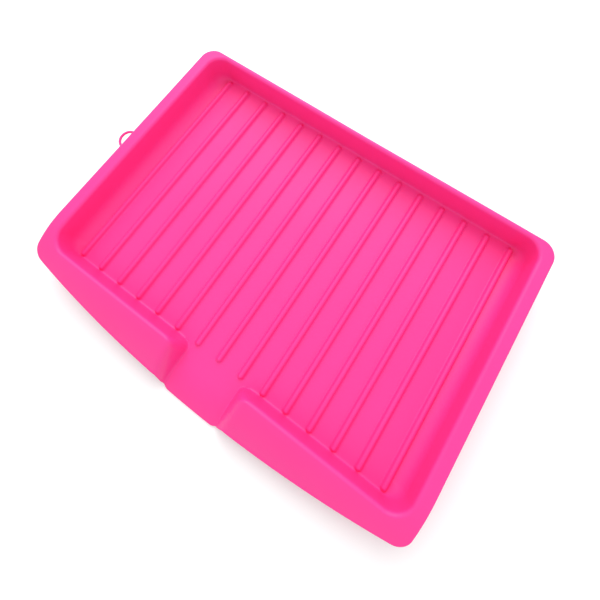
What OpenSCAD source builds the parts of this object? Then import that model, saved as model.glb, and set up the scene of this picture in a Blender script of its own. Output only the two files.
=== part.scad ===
// Dish drainer tray with a pouring spout: a one-piece moulded plastic board.
// Tray frame: floor surface at z = 0, +X along the long side, -Y towards the spout.
// Every feature is seated on its feet, leaning by `fall` towards the spout.

/* [Basin] */
// Inside length of the basin, left to right
basin_l = 394; // [390:1:410]
// Inside width of the basin, front wall to back wall
basin_w = 259; // [258:1:280]
// Height of the back and side rim above the floor
rim_h = 35.5; // [33:0.5:40]
// Height of the front crest above the floor
crest_h = 30; // [27:0.5:32]
// Length over which the side rim curves down to the front crest
dip_l = 32; // [30:1:60]
// Radius of the basin's inside corners
basin_r = 16; // [10:1:20]
// Thickness of the moulded wall
wall_t = 2; // [1.6:0.1:2.4]

/* [Rim] */
// Reach of the side flanges beyond the basin's inside
side_reach = 13; // [11:0.25:16]
// Reach of the back flange beyond the basin's inside
back_reach = 5.5; // [5.5:0.25:10]
// Depth of the turned-down edge of the flanges
edge_drop = 6.5; // [4:0.5:9]
// Radius of the tray's back corners
back_r = 15; // [14:1:20]
// Radius of the tray's front corners
front_r = 13; // [12:1:18]

/* [Front apron] */
// Reach of the apron beyond the basin's inside, at the middle
apron_reach = 38.5; // [36:0.5:42]
// How far the apron's edge bows out between its corners
apron_bow = 21; // [16:0.5:22]
// Height that the apron falls from the crest to its outer edge
apron_fall = 20; // [17:0.5:22]

/* [Spout] */
// Width of the gap in the crest
spout_gap = 74; // [70:1:84]
// Width of the channel's bottom
spout_w = 62; // [54:1:64]
// Width of the straight pouring edge
spout_edge_w = 50; // [36:1:54]
// Reach of the pouring edge beyond the apron's edge
spout_reach = 8; // [5:0.5:10]
// Height that the channel falls from the floor to the pouring edge
spout_fall = 8; // [5:0.5:9]
// Distance past the crest at which the channel starts to fall
spout_lead = 15; // [8:1:20]

/* [Drain ribs] */
// Number of drain ribs
rib_count = 15; // [9:2:15]
// Distance from one rib to the next
rib_pitch = 26; // [22:0.5:26.5]
// Length of each rib
rib_l = 255; // [220:1:255]
// How far the ribs sit towards the spout from the basin's middle
rib_shift = 1.3; // [0:0.1:1.4]
// Width of a rib at the floor
rib_w = 9; // [5:0.5:9]
// Width of a rib at its top
rib_top_w = 5.4; // [1.6:0.1:6]
// Height of a rib
rib_h = 4; // [3:0.5:6]

/* [Hanging loop] */
// Thickness of the loop's round bar
loop_bar = 2.6; // [2.2:0.1:3.4]
// Overall width of the loop along the rim
loop_w = 22; // [18:1:26]
// How far the loop sits towards the spout from the basin's middle
loop_shift = 4; // [0:1:40]

/* [Feet] */
// Lean of the tray towards the spout, in degrees
fall = 1.2; // [0.8:0.1:1.4]
// Clear height under the floor at the middle of the tray
stand_h = 12; // [12:0.5:16]
// Length of a foot pad
foot_l = 28; // [20:1:36]
// Width of a foot pad
foot_w = 9; // [7:0.5:12]
// Distance between the left and right feet
foot_span_x = 310; // [240:5:340]
// Distance between the front and back feet
foot_span_y = 220; // [200:2:226]

/* [Hidden] */
$fn = 72;
eps = 0.01;
tall = 200;
sweep_steps = 24;
crown_steps = 8;
bow_facets = 1440;

back_y = basin_w / 2 + back_reach;
side_x = basin_l / 2 + side_reach;
crest_y = -basin_w / 2 - wall_t;
apron_y = -basin_w / 2 - apron_reach;
tip_y = apron_y - spout_reach;
bow_r = (side_x * side_x + apron_bow * apron_bow) / (2 * apron_bow);
bow_y = apron_y + bow_r;
front_corner_y = bow_y - sqrt(pow(bow_r - front_r, 2) - pow(side_x - front_r, 2));
channel_y = crest_y - spout_lead;
lip_y = apron_y + wall_t;
loop_r = (loop_w - loop_bar) / 2;
loop_reach = loop_r + loop_bar / 2;
edge_z = rim_h - edge_drop;
loop_z = edge_z + loop_bar / 2;
most_y = back_y * cos(fall) - edge_z * sin(fall);
least_y = tip_y * cos(fall) + spout_fall * sin(fall);
tray_x = loop_reach / 2;
tray_y = -(most_y + least_y) / 2;
tray_z = stand_h + wall_t;

pink = [1.0, 0.29, 0.62];
sides = [-1, 1];
function two_digits(i) = str(i < 10 ? "0" : "", i);
function rib_name(i) = str("drain_rib_", two_digits(i));

// ---- heights along Y ----

// Top of the rim behind the crest: level, then a curve that steepens towards the crest
function dip_z(y) = rim_h - (rim_h - crest_h) * pow(max(0, 1 - (y - crest_y) / dip_l), 2);
// Top of the apron: it leaves the crest at the side rim's slope and ends apron_fall lower
crest_slope = 2 * (rim_h - crest_h) / dip_l;
apron_bend = (apron_fall / (crest_y - apron_y) - crest_slope) / (crest_y - apron_y);
function apron_z(y) = crest_h - crest_slope * (crest_y - y) - apron_bend * pow(crest_y - y, 2);
// Surface of the spout's channel
function channel_z(y) = -spout_fall * pow(max(0, (channel_y - y) / (channel_y - tip_y)), 2);

function steps(a, b, n) = [for (i = [0:n]) a + (b - a) * i / n];
function reversed(list) = [for (i = [len(list) - 1:-1:0]) list[i]];
rim_top = concat(
    [for (y = steps(tip_y, crest_y, sweep_steps)) [y, apron_z(y)]],
    [for (y = steps(crest_y, crest_y + dip_l, sweep_steps)) if (y > crest_y) [y, dip_z(y)]],
    [[back_y + wall_t, rim_h]]);
channel_top = concat(
    [[crest_y + 2 * wall_t, 0]],
    [for (y = steps(channel_y, tip_y - wall_t, sweep_steps)) [y, channel_z(y)]]);

// Stretches an outline drawn in the YZ plane along the whole tray
module along_x(length = tall * 3) {
    translate([-length / 2, 0, 0]) rotate([90, 0, 90]) linear_extrude(length) children();
}

// A skin of the given depth that hangs below a line in the YZ plane
module skin(line, depth) {
    along_x() polygon(concat(line, [for (p = reversed(line)) [p[0], p[1] - depth]]));
}

// ---- outlines seen from above ----

module round_rect(x0, x1, y0, y1, r) {
    translate([x0 + r, y0]) square([x1 - x0 - 2 * r, y1 - y0]);
    translate([x0, y0 + r]) square([x1 - x0, y1 - y0 - 2 * r]);
    for (x = [x0 + r, x1 - r], y = [y0 + r, y1 - r]) translate([x, y]) circle(r);
}

module basin_plan(grow) {
    round_rect(-basin_l / 2 - grow, basin_l / 2 + grow,
        -basin_w / 2 - grow, basin_w / 2 + grow, basin_r + grow);
}

// Straight sides and back, with a bowed front whose corner arcs touch the bow and the sides
module tray_plan(shrink) {
    half = side_x - shrink;
    back_x = side_x - back_r;
    front_x = side_x - front_r;
    translate([-half, front_corner_y]) square([2 * half, back_y - back_r - front_corner_y]);
    translate([-back_x, front_corner_y])
        square([2 * back_x, back_y - shrink - front_corner_y]);
    for (side = sides) {
        translate([side * back_x, back_y - back_r]) circle(back_r - shrink);
        translate([side * front_x, front_corner_y]) circle(front_r - shrink);
    }
    intersection() {
        translate([0, bow_y]) circle(bow_r - shrink, $fn = bow_facets);
        polygon([[-front_x, front_corner_y], [-2 * front_x, 2 * front_corner_y - bow_y],
            [2 * front_x, 2 * front_corner_y - bow_y], [front_x, front_corner_y]]);
    }
}

// Quarter of the plan that belongs to one side, cut along lines through the corners
module side_sector(side) {
    corner_x = basin_l / 2 - basin_r;
    corner_y = basin_w / 2 - basin_r;
    polygon([[side * corner_x, -corner_y], [side * corner_x, corner_y],
        [side * (corner_x + tall), corner_y + tall], [side * (corner_x + tall), -corner_y - tall]]);
}

module end_sector(end) {
    corner_x = basin_l / 2 - basin_r;
    corner_y = basin_w / 2 - basin_r;
    polygon([[-corner_x, end * corner_y], [corner_x, end * corner_y],
        [corner_x + tall, end * (corner_y + tall)], [-corner_x - tall, end * (corner_y + tall)]]);
}

module half_plane(side) {
    translate([side < 0 ? -tall * 3 : 0, -tall * 2]) square([tall * 3, tall * 4]);
}

// ---- shared solids ----

module tall_plan() {
    translate([0, 0, -tall / 2]) linear_extrude(tall) children();
}

// The sloping-sided notch that the spout takes out of the front
module spout_notch() {
    rotate([90, 0, 0]) linear_extrude(tall * 2)
        polygon([[-spout_w / 2 - wall_t, -tall / 4], [-spout_w / 2 - wall_t, 0],
            [-spout_gap / 2, crest_h + eps], [-spout_gap / 2, tall / 4],
            [spout_gap / 2, tall / 4], [spout_gap / 2, crest_h + eps],
            [spout_w / 2 + wall_t, 0], [spout_w / 2 + wall_t, -tall / 4]]);
}

module wall() {
    intersection() {
        tall_plan() intersection() {
            difference() {
                basin_plan(wall_t);
                basin_plan(0);
            }
            children();
        }
        skin(rim_top, tall / 4);
        translate([0, 0, tall / 2 - wall_t]) cube([tall * 3, tall * 2, tall], center = true);
    }
}

module flange() {
    intersection() {
        tall_plan() intersection() {
            difference() {
                tray_plan(0);
                basin_plan(wall_t);
            }
            children();
        }
        skin(rim_top, wall_t);
    }
    intersection() {
        tall_plan() intersection() {
            difference() {
                tray_plan(0);
                tray_plan(wall_t);
            }
            children();
        }
        skin(rim_top, edge_drop);
    }
}

module seated() {
    translate([tray_x, tray_y, tray_z]) rotate([fall, 0, 0]) children();
}

// ---- sub-parts ----

module floor_panel() {
    color(pink) seated() translate([0, 0, -wall_t]) linear_extrude(wall_t) basin_plan(0);
}

module back_wall() {
    color(pink) seated() wall() end_sector(1);
}

module side_wall(side) {
    color(pink) seated() wall() side_sector(side);
}

module front_wall(side) {
    color(pink) seated() difference() {
        wall() intersection() {
            end_sector(-1);
            half_plane(side);
        }
        spout_notch();
    }
}

module back_flange() {
    color(pink) seated() flange() end_sector(1);
}

module side_flange(side) {
    color(pink) seated() flange() side_sector(side);
}

module front_apron(side) {
    color(pink) seated() difference() {
        intersection() {
            tall_plan() intersection() {
                difference() {
                    tray_plan(0);
                    basin_plan(wall_t);
                }
                end_sector(-1);
                half_plane(side);
            }
            skin(rim_top, wall_t);
        }
        spout_notch();
    }
}

module spout_plan() {
    corner = spout_w / 2 + wall_t;
    polygon([[-corner, -basin_w / 2], [-corner, lip_y], [-spout_edge_w / 2, tip_y],
        [spout_edge_w / 2, tip_y], [corner, lip_y], [corner, -basin_w / 2]]);
}

// Sloping cheek between the channel's bottom and the crest
module spout_cheek(side) {
    intersection() {
        rotate([90, 0, 0]) linear_extrude(tall * 2)
            polygon([[side * spout_w / 2, -wall_t - spout_fall], [side * spout_w / 2, 0],
                [side * (spout_gap / 2 - wall_t), crest_h + eps],
                [side * spout_gap / 2, crest_h + eps],
                [side * (spout_w / 2 + wall_t), 0],
                [side * (spout_w / 2 + wall_t), -wall_t - spout_fall]]);
        skin(rim_top, tall / 4);
        along_x() polygon(concat([for (p = channel_top) [p[0], p[1] - wall_t]],
            [[tip_y - wall_t, tall / 4], [crest_y + 2 * wall_t, tall / 4]]));
        translate([0, (lip_y - basin_w / 2) / 2, 0])
            cube([tall, -basin_w / 2 - lip_y, tall], center = true);
    }
}

module drain_spout() {
    color(pink) seated() {
        intersection() {
            tall_plan() spout_plan();
            skin(channel_top, wall_t);
        }
        for (side = sides) spout_cheek(side);
    }
}

module drain_rib(i) {
    arc = steps(0, 180, crown_steps);
    crown = rib_top_w / 2;
    section = concat([[-rib_w / 2, 0]],
        [for (a = reversed(arc)) [crown * cos(a), rib_h - crown + crown * sin(a)]],
        [[rib_w / 2, 0]]);
    color(pink) seated() translate([(i - (rib_count + 1) / 2) * rib_pitch, -rib_shift, 0]) intersection() {
        translate([0, rib_l / 2, 0]) rotate([90, 0, 0]) linear_extrude(rib_l) polygon(section);
        linear_extrude(rib_h + 1) round_rect(-rib_w / 2, rib_w / 2, -rib_l / 2, rib_l / 2,
            rib_w / 2 - eps);
    }
}

module hanging_loop() {
    color(pink) seated() translate([-side_x, -loop_shift, loop_z]) rotate([0, 0, 90])
        rotate_extrude(angle = 180) translate([loop_r, 0]) circle(d = loop_bar);
}

// A pad with round ends that fills the height from the ground to the leaning floor
module foot(side, end) {
    color(pink) difference() {
        translate([tray_x + side * foot_span_x / 2, tray_y + end * foot_span_y / 2, 0])
            linear_extrude(tray_z * 2)
                round_rect(-foot_l / 2, foot_l / 2, -foot_w / 2, foot_w / 2, foot_w / 2 - eps);
        seated() translate([0, 0, tall / 2 - wall_t]) cube([tall * 3, tall * 2, tall], center = true);
    }
}

floor_panel();
back_wall();
side_wall(-1);  // left_wall
side_wall(1);  // right_wall
front_wall(-1);  // front_wall_left
front_wall(1);  // front_wall_right
back_flange();
side_flange(-1);  // left_flange
side_flange(1);  // right_flange
front_apron(-1);  // front_apron_left
front_apron(1);  // front_apron_right
drain_spout();
hanging_loop();
foot(-1, -1);  // foot_front_left
foot(1, -1);  // foot_front_right
foot(-1, 1);  // foot_back_left
foot(1, 1);  // foot_back_right
for (i = [1:rib_count]) drain_rib(i);
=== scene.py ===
"""Looks of the dish drainer tray: one smooth moulded shell, its drain ribs, loop and feet.

Everything but the feet is drawn in the tray's own frame, in millimetres: the floor's surface
is z = 0 and the spout points to -Y. It is then seated in the shared frame, in metres, where
the tray leans towards the spout. The feet keep their CAD meshes.
"""

import math

import bmesh
import bpy
import numpy as np
from mathutils import Matrix, Vector


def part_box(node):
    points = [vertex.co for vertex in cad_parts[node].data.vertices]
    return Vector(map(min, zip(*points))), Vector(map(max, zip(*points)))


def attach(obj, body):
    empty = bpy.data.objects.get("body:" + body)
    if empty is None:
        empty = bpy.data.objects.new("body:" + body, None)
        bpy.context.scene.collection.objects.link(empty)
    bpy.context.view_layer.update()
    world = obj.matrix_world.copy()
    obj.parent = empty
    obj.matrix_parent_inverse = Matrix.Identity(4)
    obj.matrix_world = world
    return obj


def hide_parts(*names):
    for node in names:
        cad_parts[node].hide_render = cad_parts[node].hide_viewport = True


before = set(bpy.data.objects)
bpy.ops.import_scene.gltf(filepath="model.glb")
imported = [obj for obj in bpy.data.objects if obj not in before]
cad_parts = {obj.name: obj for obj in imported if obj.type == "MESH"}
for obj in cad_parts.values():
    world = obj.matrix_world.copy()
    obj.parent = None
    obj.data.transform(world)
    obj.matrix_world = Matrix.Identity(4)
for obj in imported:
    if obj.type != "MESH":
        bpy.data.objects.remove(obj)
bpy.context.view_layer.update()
MM = 0.001

# ---- sizes and places of the tray: the floor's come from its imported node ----

LEAN = math.radians(1.2)
WALL = 2.0
floor_low, floor_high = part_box("floor_panel")
HALF_L = (floor_high.x - floor_low.x) / 2 / MM
HALF_W = ((floor_high.y - floor_low.y) / MM - WALL * math.sin(LEAN)) / math.cos(LEAN) / 2
TRAY_X = (floor_high.x + floor_low.x) / 2 / MM
TRAY_Y = (floor_high.y + floor_low.y) / 2 / MM - WALL / 2 * math.sin(LEAN)
TRAY_Z = (floor_high.z + floor_low.z) / 2 / MM + WALL / 2 * math.cos(LEAN)
SEAT = Matrix.Translation((TRAY_X * MM, TRAY_Y * MM, TRAY_Z * MM)) @ Matrix.Rotation(LEAN, 4, "X")

# basin, and how far the rim reaches out beyond it
BASIN_R = 16.0
RIM_H = 35.5
SIDE_REACH = 13.0
BACK_REACH = 5.5
BACK_R = 15.0
FRONT_R = 13.0
SIDE_X = HALF_L + SIDE_REACH
BACK_Y = HALF_W + BACK_REACH

# crest of the front wall, which dips below the rim, and the apron that falls from it
CREST_H = 30.0
DIP_L = 32.0
APRON_REACH = 38.5
APRON_BOW = 21.0
APRON_FALL = 20.0
CREST_Y = -HALF_W - WALL
APRON_Y = -HALF_W - APRON_REACH

# spout: the channel's half-width, the lean of its cheeks and their flare at the basin
SPOUT_HALF = 31.0
SPOUT_BATTER = 14.0
SPOUT_TURN = 7.0
# its tip: half-width at the root and at the pouring edge, reach past the apron, level lead, fall
SPOUT_WING = 39.0
SPOUT_EDGE_HALF = 25.0
SPOUT_REACH = 8.0
SPOUT_LEAD = 15.0
SPOUT_FALL = 8.0
TIP_Y = APRON_Y - SPOUT_REACH
CHANNEL_Y = CREST_Y - SPOUT_LEAD


def smooth(u):
    """Eases from 0 to 1 as u goes from 0 to 1, and stays level outside."""
    u = np.clip(u, 0.0, 1.0)
    return u * u * (3 - 2 * u)


def turns(start, end, count):
    """Evenly spaced angles in radians, from limits in degrees."""
    return np.radians(np.linspace(start, end, count))


# ---- meshes ----


def seated(points):
    """Points of the tray's frame, in millimetres, as points of the shared frame, in metres."""
    return [SEAT @ (Vector(p) * MM) for p in points]


def loft(rows):
    """Points and faces of a solid whose skin is a closed round of rows, capped at both ends."""
    count, width = len(rows), len(rows[0])
    points = [p for row in rows for p in row]
    faces = []
    for i in range(count):
        j = (i + 1) % count
        for k in range(width - 1):
            faces.append((i * width + k, i * width + k + 1, j * width + k + 1, j * width + k))
    faces.append(tuple(i * width for i in range(count)))
    faces.append(tuple(i * width + width - 1 for i in reversed(range(count))))
    return points, faces


def make(name, rows, material, nodes):
    """A smooth visible piece that takes the place of the CAD nodes named."""
    points, faces = loft(rows)
    mesh = bpy.data.meshes.new(name)
    mesh.from_pydata(seated(points), [], faces)
    mesh.validate()
    bm = bmesh.new()
    bm.from_mesh(mesh)
    bmesh.ops.recalc_face_normals(bm, faces=bm.faces)
    bm.to_mesh(mesh)
    bm.free()
    mesh.materials.append(material)
    for polygon in mesh.polygons:
        polygon.use_smooth = True
    piece = bpy.data.objects.new(name, mesh)
    bpy.context.scene.collection.objects.link(piece)
    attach(piece, "root")
    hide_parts(*nodes)
    return piece


# ---- heights along Y, the same curves as the CAD solids ----

CREST_SLOPE = 2 * (RIM_H - CREST_H) / DIP_L
APRON_RUN = CREST_Y - APRON_Y
APRON_BEND = (APRON_FALL / APRON_RUN - CREST_SLOPE) / APRON_RUN


def rim_z(y):
    """Height of the rim, and of the apron in front of the crest."""
    if y > CREST_Y:
        return RIM_H - (RIM_H - CREST_H) * max(0.0, 1 - (y - CREST_Y) / DIP_L) ** 2
    run = CREST_Y - y
    return CREST_H - CREST_SLOPE * run - APRON_BEND * run * run


def channel_z(y):
    """Height of the spout's channel, which turns down towards its tip."""
    return -SPOUT_FALL * max(0.0, (CHANNEL_Y - y) / (CHANNEL_Y - TIP_Y)) ** 2


# ---- the basin's outline and the rim's, and the places where the shell is cut ----

BOW_R = (SIDE_X * SIDE_X + APRON_BOW * APRON_BOW) / (2 * APRON_BOW)
FRONT_X = SIDE_X - FRONT_R
FRONT_CORNER_Y = APRON_Y + BOW_R - math.sqrt((BOW_R - FRONT_R) ** 2 - FRONT_X**2)
BOW_ANGLE = math.degrees(math.asin(FRONT_X / (BOW_R - FRONT_R)))

CORNER_STEPS = 17
BACK_STEPS = 60
SIDE_STEPS = 48
# along the front: wide steps in the channel, fine ones across the cheeks, wide ones again
CHANNEL_STEP = 4.0
CHEEK_FROM = 20.0
CHEEK_TO = 56.0
CHEEK_STEP = 1.0
APRON_STEPS = 32
# how far from the middle the apron's edge has spread to its full length
SPREAD_X = 60.0


def corner(cx, cy, radius, start, end):
    """Points and outward normals along an arc, angles in degrees."""
    arc = [(math.cos(a), math.sin(a)) for a in turns(start, end, CORNER_STEPS)]
    return [(cx + radius * nx, cy + radius * ny, nx, ny) for nx, ny in arc]


def bow_y(x):
    """The apron's edge: an arc that bows out between the front corners."""
    return APRON_Y + BOW_R - math.sqrt(BOW_R * BOW_R - x * x)


def front_stations():
    """Places along the front, from left to right."""
    half = [
        *np.arange(0, CHEEK_FROM, CHANNEL_STEP),
        *np.arange(CHEEK_FROM, CHEEK_TO, CHEEK_STEP),
        *np.linspace(CHEEK_TO, HALF_L - BASIN_R, APRON_STEPS)[:-1],
    ]
    return [-x for x in reversed(half) if x > 0] + half


def stations():
    """Inner points with their outward normals and the outer points that they run to."""
    pairs = []
    run_x = HALF_L - BASIN_R
    run_y = HALF_W - BASIN_R
    back_x = SIDE_X - BACK_R
    back_y = BACK_Y - BACK_R
    front_y = FRONT_CORNER_Y

    def straight(inner_ends, outer_ends, normal, count):
        for u in np.linspace(0, 1, count + 2)[1:-1]:
            inner = tuple(a + (b - a) * u for a, b in zip(*inner_ends))
            outer = tuple(a + (b - a) * u for a, b in zip(*outer_ends))
            pairs.append((*inner, *normal, *outer))

    def bend(inner_centre, outer_centre, outer_r, start, end, outer_start, outer_end):
        inner = corner(*inner_centre, BASIN_R, start, end)
        outer = corner(*outer_centre, outer_r, outer_start, outer_end)
        pairs.extend((*a, b[0], b[1]) for a, b in zip(inner, outer))

    # back corners and back
    bend((run_x, run_y), (back_x, back_y), BACK_R, 0, 90, 0, 90)
    straight(
        ((run_x, HALF_W), (-run_x, HALF_W)),
        ((back_x, BACK_Y), (-back_x, BACK_Y)),
        (0, 1),
        BACK_STEPS,
    )
    bend((-run_x, run_y), (-back_x, back_y), BACK_R, 90, 180, 90, 180)
    # left side
    straight(
        ((-HALF_L, run_y), (-HALF_L, -run_y)),
        ((-SIDE_X, back_y), (-SIDE_X, front_y)),
        (-1, 0),
        SIDE_STEPS,
    )
    # front, where the outer points spread and bow, with the spout's tip in the middle
    bend((-run_x, -run_y), (-FRONT_X, front_y), FRONT_R, 180, 270, 180, 270 - BOW_ANGLE)
    spread = (FRONT_X + FRONT_R * math.sin(math.radians(BOW_ANGLE))) / run_x
    for x in front_stations():
        outer_x = x * (1 + (spread - 1) * smooth(abs(x) / SPREAD_X))
        tip = smooth((SPOUT_WING - abs(x)) / (SPOUT_WING - SPOUT_EDGE_HALF))
        pairs.append((x, -HALF_W, 0.0, -1.0, outer_x, bow_y(outer_x) - SPOUT_REACH * tip))
    bend((run_x, -run_y), (FRONT_X, front_y), FRONT_R, 270, 360, 270 + BOW_ANGLE, 360)
    # right side
    straight(
        ((HALF_L, -run_y), (HALF_L, run_y)),
        ((SIDE_X, front_y), (SIDE_X, back_y)),
        (1, 0),
        SIDE_STEPS,
    )
    return pairs


# ---- the shell's cross-section ----

# inside of the basin
FLOOR_RING = 2.5
END_FOOT_R = 2.5
SIDE_FOOT_R = 14.0
DRAFT = 0.5
CREST_R = 3.4
# the flange's edge is turned down by EDGE_DROP, the apron's is only as deep as its thickness
EDGE_R = 1.8
EDGE_DROP = 6.5
APRON_DROP = WALL + 0.6
# one edge gives way to the other while the -Y part of the outward normal grows between these
APRON_FROM = 0.1875
APRON_FULL = 0.8125
# beyond this -Y part a section belongs to the straight front, which the spout cuts
FACING_FRONT = -0.99
# chamfers at the bottom of the turned-down edge, and the bevel where it meets the flange
LIP_OUTER_CUT = 0.5
LIP_INNER_CUT = 0.4
LIP_BEVEL_SHARE = 0.4
LIP_BEVEL_DROP = 0.6
LIP_BEVEL_REACH = 1.0
LIP_BEVEL_SAG = 0.1
# underside of the flange and outside of the wall
UNDER_STOP = 1.5
UNDER_CUT = 2.0
UNDER_EASE = 0.6
OUTSIDE_DRAFT = 0.3
OUTSIDE_R = 2.0
UNDER_RING = 6.0

ARC_STEPS = 8
FLANGE_STEPS = 20
FLANGE_CROWDING = 1.5
EDGE_STEPS = 6
LIP_STEPS = 3

# the spout's cheeks rise softly over the first share of their batter, then round over
CHEEK_FOOT = 0.2
CHEEK_ROUND = 2.5


def spout_rise(x, y):
    """0 in the channel and 1 beside it. The gap flares where it meets the basin."""
    into = min(max(-HALF_W - y, 0.0), SPOUT_TURN)
    flare = SPOUT_TURN - math.sqrt(SPOUT_TURN**2 - (SPOUT_TURN - into) ** 2)
    across = min(max((abs(x) - SPOUT_HALF - flare) / SPOUT_BATTER, 0.0), 1.0)
    return float(smooth(across / CHEEK_FOOT) * (1 - (1 - across) ** CHEEK_ROUND))


def section(inner_x, inner_y, normal_x, normal_y, outer_x, outer_y):
    """Top surface from the floor out to the edge, then the underside back in, as (x, y, z)."""
    apron = float(smooth((-normal_y - APRON_FROM) / (APRON_FULL - APRON_FROM)))
    drop = EDGE_DROP + (APRON_DROP - EDGE_DROP) * apron
    foot_r = END_FOOT_R + (SIDE_FOOT_R - END_FOOT_R) * float(smooth(abs(normal_x)))
    in_front = normal_y < FACING_FRONT
    points = []

    def at(distance):
        """Place at a distance outward from the basin's outline."""
        return inner_x + normal_x * distance, inner_y + normal_y * distance

    crest_x, crest_y = at(CREST_R)
    reach = math.hypot(outer_x - crest_x, outer_y - crest_y)

    def out(u):
        """Place between the crest, at 0, and the rim's outline, at 1."""
        return crest_x + (outer_x - crest_x) * u, crest_y + (outer_y - crest_y) * u

    def put(xy, height, under=0.0):
        """Adds a point at a height over the floor, sunk to the channel inside the spout."""
        if in_front:
            low = channel_z(xy[1]) - under
            height = low + (height - low) * spout_rise(*xy)
        points.append((*xy, height))

    def put_under(xy, height):
        put(xy, height, WALL)

    # floor, foot fillet and wall
    top = rim_z(crest_y)
    foot = -foot_r - DRAFT
    put(at(foot - FLOOR_RING), 0)
    for a in turns(0, 86, ARC_STEPS):
        put(at(foot + foot_r * math.sin(a)), foot_r * (1 - math.cos(a)))
    for u in (0.25, 0.5, 0.75):
        put(at(-DRAFT + DRAFT * u), foot_r + (top - CREST_R - foot_r) * u)
    # rounded crest
    for a in turns(0, 90, ARC_STEPS):
        put(at(CREST_R * (1 - math.cos(a))), top - CREST_R * (1 - math.sin(a)))
    # flange or apron, closer together near the crest, then the rounded edge
    flat = 1 - EDGE_R / reach
    spread = [flat * (i / FLANGE_STEPS) ** FLANGE_CROWDING for i in range(1, FLANGE_STEPS + 1)]
    for u in spread:
        put(out(u), rim_z(out(u)[1]))
    edge_top = rim_z(out(flat)[1])
    for a in turns(0, 90, EDGE_STEPS)[1:]:
        put(out(flat + EDGE_R / reach * math.sin(a)), edge_top - EDGE_R * (1 - math.cos(a)))
    for u in np.linspace(0, 1, LIP_STEPS + 1)[1:]:
        put(out(1), edge_top - EDGE_R - (drop - EDGE_R - LIP_OUTER_CUT) * u)
    # bottom of the edge, its inside and the bevel up to the flange
    inside = 1 - WALL / reach
    bottom = edge_top - drop
    under_edge = edge_top - WALL
    bevel = LIP_BEVEL_DROP + (drop - WALL - LIP_BEVEL_DROP - LIP_INNER_CUT) * LIP_BEVEL_SHARE
    put_under(out(1 - LIP_OUTER_CUT / reach), bottom)
    put_under(out(inside + LIP_INNER_CUT / reach), bottom)
    put_under(out(inside), bottom + LIP_INNER_CUT)
    put_under(out(inside), under_edge - bevel)
    put_under(out(inside - LIP_BEVEL_REACH / reach), under_edge - LIP_BEVEL_SAG)
    # underside of the flange, back in to the wall
    start = (WALL + UNDER_CUT - CREST_R) / reach
    stop = inside - UNDER_STOP / reach
    for u in reversed(spread):
        v = start + (stop - start) * u / flat
        put_under(out(v), rim_z(out(v)[1]) - WALL)
    # outside of the wall and its round into the bottom
    under_wall = rim_z(at(WALL)[1]) - WALL
    put_under(at(WALL + UNDER_EASE), under_wall - UNDER_EASE)
    put_under(at(WALL), under_wall - UNDER_CUT)
    for u in (0.3, 0.6, 0.9):
        put_under(at(WALL - OUTSIDE_DRAFT * u), (under_wall - UNDER_CUT) * (1 - u))
    for a in turns(10, 90, 5):
        put_under(at(WALL - OUTSIDE_DRAFT - OUTSIDE_R * (1 - math.cos(a))), -WALL * math.sin(a))
    put_under(at(-UNDER_RING), -WALL)
    return points


def shell(material):
    """Floor, walls, flanges, aprons and spout as the one moulding that they are."""
    rows = [section(*station) for station in stations()]
    nodes = [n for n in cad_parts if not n.startswith(("drain_rib", "foot", "hanging"))]
    return make("tray_shell", rows, material, nodes)


# ---- drain ribs ----

RIB_Y = -1.3
RIB_HALF_L = 127.5
RIB_H = 4.0
RIB_TOP_R = 2.7
RIB_HALF_W = 4.5
RIB_FOOT_R = 1.5
RIB_SINK = 0.15
# the foot turns up by this angle, and the top is round between these, in degrees
RIB_FOOT_TURN = 60
RIB_TOP_FROM = 12
RIB_TOP_TO = 86
RIB_FOOT_STEPS = 6
RIB_TOP_STEPS = 9
RIB_END_STEPS = 13


def rib_profile():
    """Half-width and height up one side of a rib: a concave foot, a flank and a round top."""
    foot = [
        (RIB_HALF_W - RIB_FOOT_R * math.sin(a), RIB_FOOT_R * (1 - math.cos(a)))
        for a in turns(0, RIB_FOOT_TURN, RIB_FOOT_STEPS)
    ]
    top = [
        (RIB_TOP_R * math.cos(a), RIB_H - RIB_TOP_R + RIB_TOP_R * math.sin(a))
        for a in turns(RIB_TOP_FROM, RIB_TOP_TO, RIB_TOP_STEPS)
    ]
    return [(RIB_HALF_W, -RIB_SINK)] + foot + top


def rib(name, x, material):
    """A straight rib with half-round ends: the side profile swept round a long oval."""
    profile = rib_profile()
    rows = []
    for end in (1, -1):
        centre = RIB_Y + end * (RIB_HALF_L - RIB_HALF_W)
        for a in turns(0, 180, RIB_END_STEPS):
            away_x, away_y = end * math.cos(a), end * math.sin(a)
            rows.append([(x + away_x * half, centre + away_y * half, z) for half, z in profile])
    return make(name, rows, material, [name])


# ---- hanging loop ----

LOOP_Y = -4.0
LOOP_R = 9.7
LOOP_BAR_R = 1.3
LOOP_FROM = 6
LOOP_STEPS = 29
LOOP_SIDES = 16
# where the bar runs into the rim: depth, extra spread of the two ends, swell of the bar
LOOP_ROOTS = ((1.0, 0.5, 1.35), (0.0, 0.1, 1.15))


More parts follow.
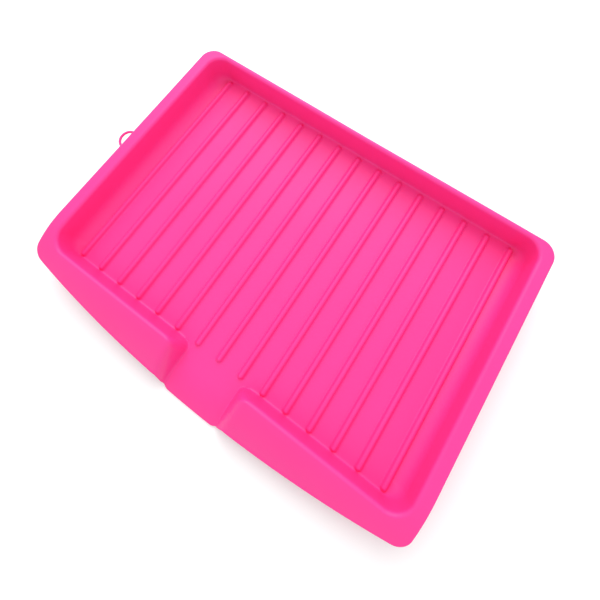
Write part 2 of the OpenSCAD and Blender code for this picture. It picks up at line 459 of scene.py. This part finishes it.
def hanging_loop(material):
    """A round bar bent into a half ring, its ends blended into the rim's edge."""
    loop_z = RIM_H - EDGE_DROP + LOOP_BAR_R
    path = [(depth, -LOOP_R - spread, swell) for depth, spread, swell in LOOP_ROOTS]
    bend = turns(LOOP_FROM, 180 - LOOP_FROM, LOOP_STEPS)
    path += [(-LOOP_R * math.sin(a), -LOOP_R * math.cos(a), 1.0) for a in bend]
    path += [(depth, LOOP_R + spread, swell) for depth, spread, swell in reversed(LOOP_ROOTS)]

    def on_bar(i, a):
        """The point at an angle round the bar, at a place along it."""
        x, y, swell = path[i]
        before, after = path[max(0, i - 1)], path[min(len(path) - 1, i + 1)]
        along = Vector((after[0] - before[0], after[1] - before[1])).normalized()
        sideways = LOOP_BAR_R * swell * math.cos(a)
        upwards = LOOP_BAR_R * min(swell, 1.0) * math.sin(a)
        return (
            -SIDE_X + x + along.y * sideways,
            LOOP_Y + y - along.x * sideways,
            loop_z + upwards,
        )

    rows = [
        [on_bar(i, 2 * math.pi * k / LOOP_SIDES) for i in range(len(path))]
        for k in range(LOOP_SIDES)
    ]
    return make("loop", rows, material, ["hanging_loop"])


# ---- material ----

PINK = (0.95, 0.044, 0.3)
PINK_SHADE = (0.97, 0.9, 0.94)
SURFACE = {
    "IOR": 1.49,
    "Specular IOR Level": 0.33,
    "Subsurface Weight": 0.04,
    "Subsurface Radius": (0.004, 0.001, 0.002),
    "Subsurface Scale": 0.5,
}
CLOUDS = {"Scale": 22, "Detail": 4}
GRAIN = {"Scale": 900, "Detail": 2}
WAVES = {"Scale": 12, "Detail": 1}
WAVE_STRENGTH = 0.15
WAVE_DEPTH = 0.004
GRAIN_DEPTH = 0.0002
SHEEN_DULLER = 0.05
SHEEN_GLOSSIER = 0.04


def moulded(name, colour, roughness, grain):
    """Satin polypropylene: even colour, a faint sheen that varies, and a fine moulded grain."""
    material = bpy.data.materials.new(name)
    material.use_nodes = True
    tree = material.node_tree
    shader = tree.nodes["Principled BSDF"]
    place = tree.nodes.new("ShaderNodeTexCoord")

    def fill(node, values):
        for socket, value in values.items():
            node.inputs[socket].default_value = value
        return node

    def noise(values):
        node = fill(tree.nodes.new("ShaderNodeTexNoise"), values)
        tree.links.new(place.outputs["Object"], node.inputs["Vector"])
        return node.outputs["Fac"]

    def bump(height, strength, depth):
        node = fill(tree.nodes.new("ShaderNodeBump"), {"Strength": strength, "Distance": depth})
        tree.links.new(height, node.inputs["Height"])
        return node

    fill(shader, SURFACE)

    # slow clouds in the colour and in the sheen
    cloud = noise(CLOUDS)
    tone = tree.nodes.new("ShaderNodeMix")
    tone.data_type = "RGBA"
    tone.inputs["A"].default_value = (*colour, 1)
    tone.inputs["B"].default_value = (*(c * s for c, s in zip(colour, PINK_SHADE)), 1)
    tree.links.new(cloud, tone.inputs["Factor"])
    tree.links.new(tone.outputs["Result"], shader.inputs["Base Color"])
    limits = {"To Min": roughness - SHEEN_GLOSSIER, "To Max": roughness + SHEEN_DULLER}
    sheen = fill(tree.nodes.new("ShaderNodeMapRange"), limits)
    tree.links.new(cloud, sheen.inputs["Value"])
    tree.links.new(sheen.outputs["Result"], shader.inputs["Roughness"])

    # fine grain over the slight waves that the plastic sets with
    fine = bump(noise(GRAIN), grain, GRAIN_DEPTH)
    flow = bump(noise(WAVES), WAVE_STRENGTH, WAVE_DEPTH)
    tree.links.new(flow.outputs["Normal"], fine.inputs["Normal"])
    tree.links.new(fine.outputs["Normal"], shader.inputs["Normal"])
    return material


# ---- camera, light and ground ----

LOOK_AT = Vector((-0.0066, 0.0854, 0.0))
DISTANCE = 0.4206
AZIMUTH = math.radians(-36.2)
ELEVATION = math.radians(71.1)
ROLL = math.radians(2.25)
LENS = 22.5
SENSOR = 36
SHIFT_X = -0.034
SHIFT_Y = -0.166
NEAREST = 0.01

KEY_PLACE = (-0.4, 0.85, 1.1)
KEY_SIZE = 1.4
KEY_POWER = 17
SKY = 0.88
GROUND_SIZE = 60
GROUND_TONE = 0.9
GROUND_ROUGHNESS = 0.8


def camera():
    """Looks down steeply over the spout, a little rolled."""
    data = bpy.data.cameras.new("camera")
    data.lens = LENS
    data.sensor_width = SENSOR
    data.shift_x = SHIFT_X
    data.shift_y = SHIFT_Y
    data.clip_start = NEAREST
    cam = bpy.data.objects.new("camera", data)
    bpy.context.scene.collection.objects.link(cam)
    level = math.cos(ELEVATION)
    ahead = Vector((math.sin(AZIMUTH) * level, math.cos(AZIMUTH) * level, -math.sin(ELEVATION)))
    turn = ahead.to_track_quat("-Z", "Y").to_matrix().to_4x4() @ Matrix.Rotation(-ROLL, 4, "Z")
    cam.matrix_world = Matrix.Translation(LOOK_AT - ahead * DISTANCE) @ turn
    bpy.context.scene.camera = cam


def area_light(name, place, size, power):
    """A square lamp that faces the tray."""
    data = bpy.data.lights.new(name, "AREA")
    data.size = size
    data.energy = power
    lamp = bpy.data.objects.new(name, data)
    lamp.location = place
    lamp.rotation_euler = (-Vector(place)).to_track_quat("-Z", "Y").to_euler()
    bpy.context.scene.collection.objects.link(lamp)


def studio():
    """White surroundings. The ground glows by what it swallows, so that no horizon shows."""
    world = bpy.data.worlds.new("studio")
    world.use_nodes = True
    background = world.node_tree.nodes["Background"]
    background.inputs["Color"].default_value = (1, 1, 1, 1)
    background.inputs["Strength"].default_value = SKY
    bpy.context.scene.world = world
    bpy.context.scene.view_settings.view_transform = "Standard"
    area_light("key", KEY_PLACE, KEY_SIZE, KEY_POWER)
    bpy.ops.mesh.primitive_plane_add(size=GROUND_SIZE)
    ground = bpy.context.object
    ground.name = "ground"
    pale = bpy.data.materials.new("pale")
    pale.use_nodes = True
    surface = pale.node_tree.nodes["Principled BSDF"]
    surface.inputs["Base Color"].default_value = (GROUND_TONE, GROUND_TONE, GROUND_TONE, 1)
    surface.inputs["Roughness"].default_value = GROUND_ROUGHNESS
    surface.inputs["Emission Color"].default_value = (1, 1, 1, 1)
    surface.inputs["Emission Strength"].default_value = SKY * (1 - GROUND_TONE)
    ground.data.materials.append(pale)


# ---- feet ----

FOOT_EDGE = 0.8 * MM
FOOT_EDGE_SEGMENTS = 3
FOOT_EDGE_ANGLE = math.radians(60)


def finish_foot(foot, material):
    """Gives a CAD foot its plastic and breaks its sharp edges."""
    foot.data.materials.clear()
    foot.data.materials.append(material)
    edge = foot.modifiers.new("edge", "BEVEL")
    edge.width = FOOT_EDGE
    edge.segments = FOOT_EDGE_SEGMENTS
    edge.angle_limit = FOOT_EDGE_ANGLE


camera()
studio()
tray_pink = moulded("tray_pink", PINK, roughness=0.46, grain=0.12)
under_pink = moulded("underside_pink", PINK, roughness=0.55, grain=0.25)
shell(tray_pink)
for rib_name in sorted(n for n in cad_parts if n.startswith("drain_rib")):
    low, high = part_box(rib_name)
    rib(rib_name, (low.x + high.x) / 2 / MM - TRAY_X, tray_pink)
hanging_loop(tray_pink)
for name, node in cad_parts.items():
    if name.startswith("foot"):
        finish_foot(node, under_pink)
